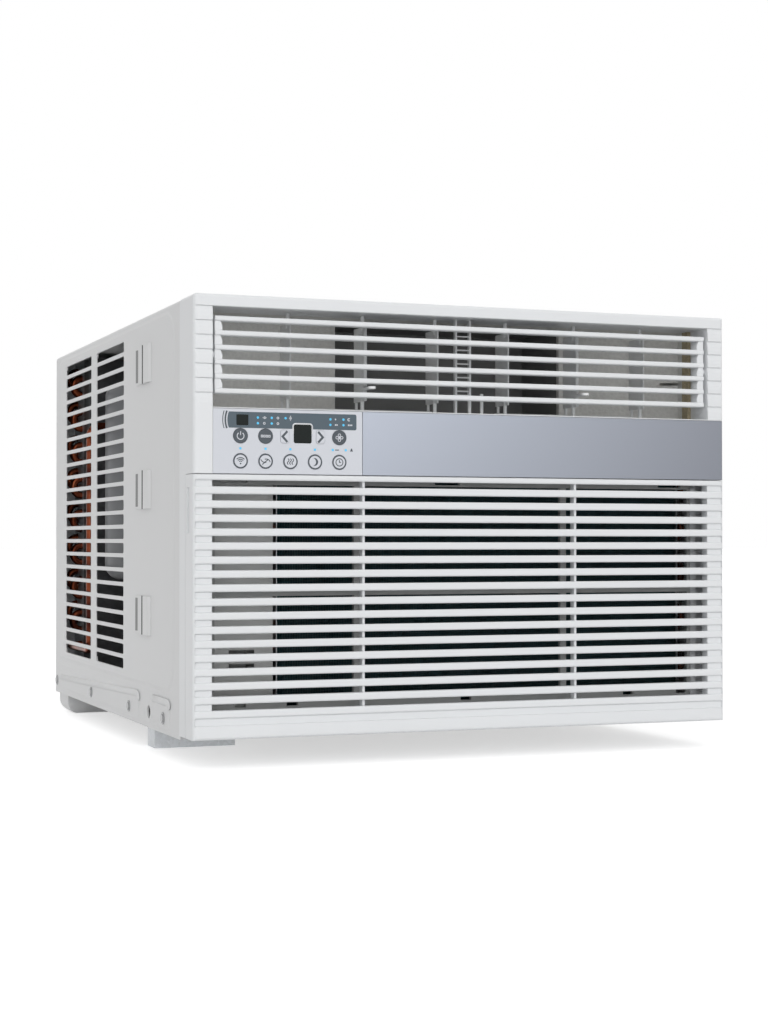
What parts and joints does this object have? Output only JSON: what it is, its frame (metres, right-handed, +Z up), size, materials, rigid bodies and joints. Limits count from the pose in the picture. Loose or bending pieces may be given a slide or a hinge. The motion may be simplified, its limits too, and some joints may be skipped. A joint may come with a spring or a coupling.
{
  "type": "window air conditioner",
  "caption": "Window air conditioner with side vents, a tilting louvre over linked vanes, a button panel and a drop-down intake grille.",
  "frame": {"origin": "on the sill plane, under the middle of the unit", "axes": "+Z up, +Y from the room side to the outdoor side, +X to the right as seen from the room"},
  "size_m": [0.6056, 0.706, 0.471],
  "materials": {
    "cabinet_paint": "satin",
    "galvanised": "satin",
    "screw_steel": "satin",
    "white_abs": "satin",
    "vane_abs": "satin",
    "panel_abs": "satin",
    "key_dark": "satin",
    "strip_slate": "satin",
    "dark_lens": "gloss",
    "lamp_cyan": "gloss",
    "silver_trim": "brushed",
    "circuit_green": "matte",
    "filter_grey": "matte",
    "filter_net": "matte",
    "box_grey": "satin",
    "capacitor_can": "satin",
    "duct_foam": "matte",
    "seal_foam": "matte",
    "housing_black": "matte",
    "motor_metal": "satin",
    "fin_blue": "satin",
    "fin_plain": "satin",
    "copper": "satin",
    "black_steel": "satin",
    "grey_steel": "satin",
    "rubber_black": "matte"
  },
  "bodies": {
    "case": {"base_pan": "galvanised", "sill_foot": "galvanised", "cabinet": "cabinet_paint", "case_screws": "screw_steel", "front_bezel": "white_abs", "control_panel": "panel_abs", "indicator_strip": "strip_slate", "digit_window": "dark_lens", "receiver_window": "dark_lens", "status_leds": "lamp_cyan", "silver_trim": "silver_trim", "display_board": "circuit_green", "centre_brace": "vane_abs", "control_box": "box_grey", "power_board": "circuit_green", "run_capacitor": "capacitor_can", "outlet_duct": "duct_foam", "foam_seals": "seal_foam", "bulkhead": "galvanised", "blower_housing": "housing_black", "fan_motor": "motor_metal", "motor_bracket": "galvanised", "evaporator_fins": "fin_blue", "evaporator_bends": "copper", "drain_tray": "duct_foam", "fan_shroud": "galvanised", "condenser_fins": "fin_plain", "condenser_bends": "copper", "compressor": "black_steel", "compressor_mounts": "rubber_black", "accumulator": "grey_steel", "suction_pipe": "copper", "discharge_pipe": "copper", "cord_bushing": "rubber_black"},
    "intake_grille": {"intake_grille": "white_abs"},
    "air_filter": {"filter_frame": "filter_grey", "filter_mesh": "filter_net"},
    "louver_frame": {"louver_frame": "white_abs"},
    "link_left": {"link_left": "vane_abs"},
    "link_right": {"link_right": "vane_abs"},
    "fan_rotor": {"fan_shaft": "screw_steel", "blower_wheel": "housing_black", "outdoor_fan": "housing_black"},
    "vane_1": {"vane_1": "vane_abs"},
    "vane_2": {"vane_2": "vane_abs"},
    "vane_3": {"vane_3": "vane_abs"},
    "vane_4": {"vane_4": "vane_abs"},
    "vane_5": {"vane_5": "vane_abs"},
    "vane_6": {"vane_6": "vane_abs"},
    "button_power": {"button_power": "key_dark"},
    "button_mode": {"button_mode": "key_dark"},
    "button_down": {"button_down": "panel_abs"},
    "button_up": {"button_up": "panel_abs"},
    "button_fan": {"button_fan": "key_dark"},
    "button_wireless": {"button_wireless": "panel_abs"},
    "button_eco": {"button_eco": "panel_abs"},
    "button_swing": {"button_swing": "panel_abs"},
    "button_sleep": {"button_sleep": "panel_abs"},
    "button_timer": {"button_timer": "panel_abs"}
  },
  "joints": [
    {"name": "grille_hinge", "type": "hinge", "parent": "case", "child": "intake_grille", "pos_m": [0, -0.344, 0.035], "axis": [1, 0, 0], "range_deg": [0, 60]},
    {"name": "filter_slide", "type": "slide", "parent": "case", "child": "air_filter", "axis": [0, 0, 1], "range_m": [0, 0.015]},
    {"name": "louver_tilt", "type": "hinge", "parent": "case", "child": "louver_frame", "pos_m": [0, -0.343, 0.41135], "axis": [1, 0, 0], "range_deg": [-12, 12]},
    {"name": "vane_1_turn", "type": "hinge", "parent": "case", "child": "vane_1", "pos_m": [-0.191, -0.317, 0.41], "axis": [0, 0, 1], "range_deg": [-30, 30]},
    {"name": "vane_2_turn", "type": "hinge", "parent": "case", "child": "vane_2", "pos_m": [-0.1097, -0.317, 0.41], "axis": [0, 0, 1], "range_deg": [-30, 30]},
    {"name": "vane_3_turn", "type": "hinge", "parent": "case", "child": "vane_3", "pos_m": [-0.0284, -0.317, 0.41], "axis": [0, 0, 1], "range_deg": [-30, 30]},
    {"name": "link_left_turn", "type": "hinge", "parent": "vane_2", "child": "link_left", "pos_m": [-0.1097, -0.299, 0.3655], "axis": [0, 0, 1], "range_deg": [-30, 30]},
    {"name": "vane_4_turn", "type": "hinge", "parent": "case", "child": "vane_4", "pos_m": [0.0529, -0.317, 0.41], "axis": [0, 0, 1], "range_deg": [-30, 30]},
    {"name": "vane_5_turn", "type": "hinge", "parent": "case", "child": "vane_5", "pos_m": [0.1342, -0.317, 0.41], "axis": [0, 0, 1], "range_deg": [-30, 30]},
    {"name": "vane_6_turn", "type": "hinge", "parent": "case", "child": "vane_6", "pos_m": [0.2155, -0.317, 0.41], "axis": [0, 0, 1], "range_deg": [-30, 30]},
    {"name": "link_right_turn", "type": "hinge", "parent": "vane_5", "child": "link_right", "pos_m": [0.1342, -0.299, 0.3655], "axis": [0, 0, 1], "range_deg": [-30, 30]},
    {"name": "fan_spin", "type": "hinge", "parent": "case", "child": "fan_rotor", "pos_m": [0.045, 0.047, 0.225], "axis": [0, 1, 0], "continuous": true},
    {"name": "press_power", "type": "slide", "parent": "case", "child": "button_power", "axis": [0, 1, 0], "range_m": [0, 0.0007], "stiffness_N_per_m": 400},
    {"name": "press_mode", "type": "slide", "parent": "case", "child": "button_mode", "axis": [0, 1, 0], "range_m": [0, 0.0007], "stiffness_N_per_m": 400},
    {"name": "press_down", "type": "slide", "parent": "case", "child": "button_down", "axis": [0, 1, 0], "range_m": [0, 0.0007], "stiffness_N_per_m": 400},
    {"name": "press_up", "type": "slide", "parent": "case", "child": "button_up", "axis": [0, 1, 0], "range_m": [0, 0.0007], "stiffness_N_per_m": 400},
    {"name": "press_fan", "type": "slide", "parent": "case", "child": "button_fan", "axis": [0, 1, 0], "range_m": [0, 0.0007], "stiffness_N_per_m": 400},
    {"name": "press_wireless", "type": "slide", "parent": "case", "child": "button_wireless", "axis": [0, 1, 0], "range_m": [0, 0.0007], "stiffness_N_per_m": 400},
    {"name": "press_eco", "type": "slide", "parent": "case", "child": "button_eco", "axis": [0, 1, 0], "range_m": [0, 0.0007], "stiffness_N_per_m": 400},
    {"name": "press_swing", "type": "slide", "parent": "case", "child": "button_swing", "axis": [0, 1, 0], "range_m": [0, 0.0007], "stiffness_N_per_m": 400},
    {"name": "press_sleep", "type": "slide", "parent": "case", "child": "button_sleep", "axis": [0, 1, 0], "range_m": [0, 0.0007], "stiffness_N_per_m": 400},
    {"name": "press_timer", "type": "slide", "parent": "case", "child": "button_timer", "axis": [0, 1, 0], "range_m": [0, 0.0007], "stiffness_N_per_m": 400}
  ],
  "couplings": [
    {"joint": "vane_1_turn", "follows": "vane_2_turn", "ratio": 1},
    {"joint": "vane_3_turn", "follows": "vane_2_turn", "ratio": 1},
    {"joint": "link_left_turn", "follows": "vane_2_turn", "ratio": -1},
    {"joint": "vane_4_turn", "follows": "vane_5_turn", "ratio": 1},
    {"joint": "vane_6_turn", "follows": "vane_5_turn", "ratio": 1},
    {"joint": "link_right_turn", "follows": "vane_5_turn", "ratio": -1}
  ]
}
